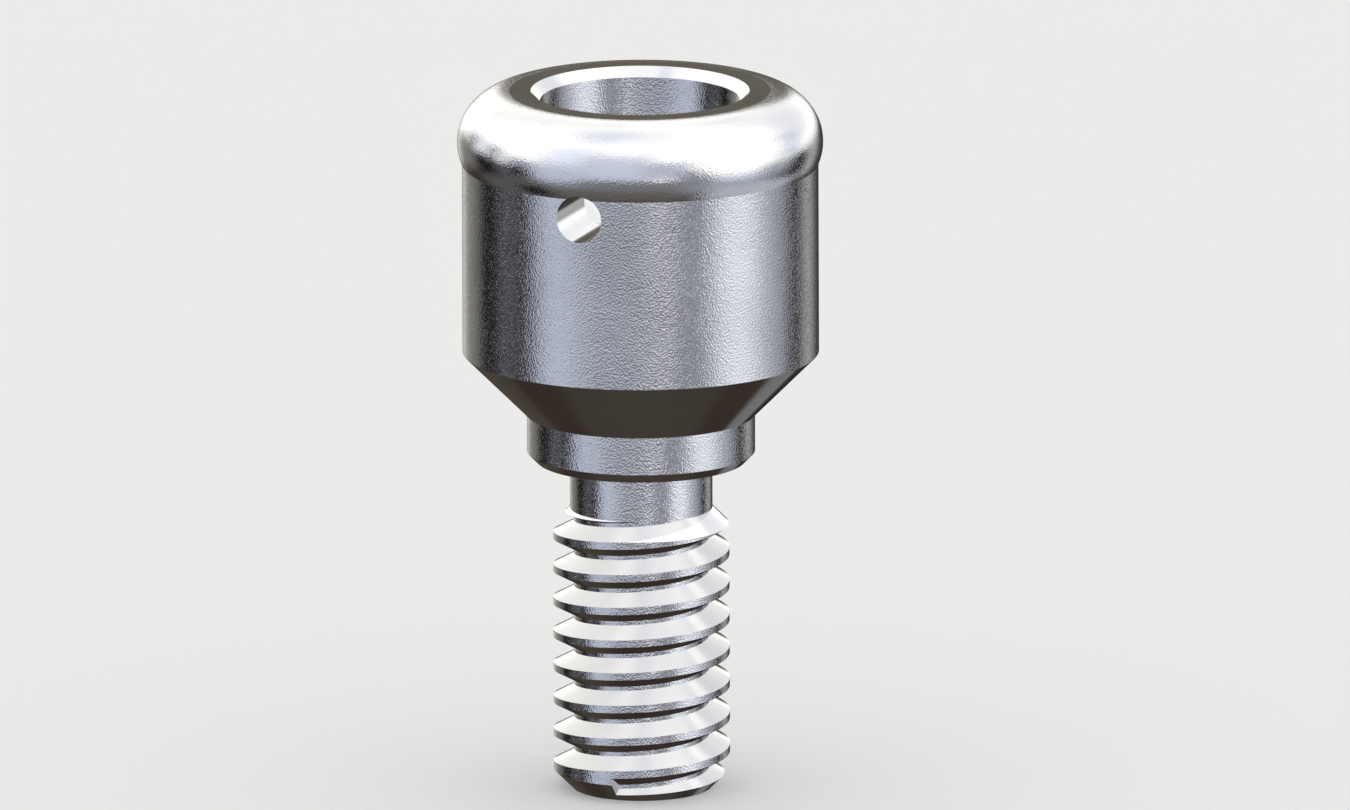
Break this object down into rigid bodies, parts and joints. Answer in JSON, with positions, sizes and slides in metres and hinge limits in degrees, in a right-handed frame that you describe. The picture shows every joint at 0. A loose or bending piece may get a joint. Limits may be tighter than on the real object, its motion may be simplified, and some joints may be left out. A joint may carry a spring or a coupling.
{
  "type": "attachment abutment",
  "caption": "Turned metal abutment with a threaded shank, plain neck, collar and cone below a cylindrical head that has a rounded rim bead, a central bore and a cross hole.",
  "frame": {"origin": "centre of the shank's end face", "axes": "+Z along the turning axis from the threaded shank to the head, -Y to the front, where the cross hole is seen left of the middle"},
  "size_m": [0.0038, 0.0038, 0.0075],
  "materials": {
    "metal": "satin turned titanium, smoother on the bead, cone and thread flanks"
  },
  "bodies": {
    "root": {"abutment": "metal"}
  },
  "joints": []
}
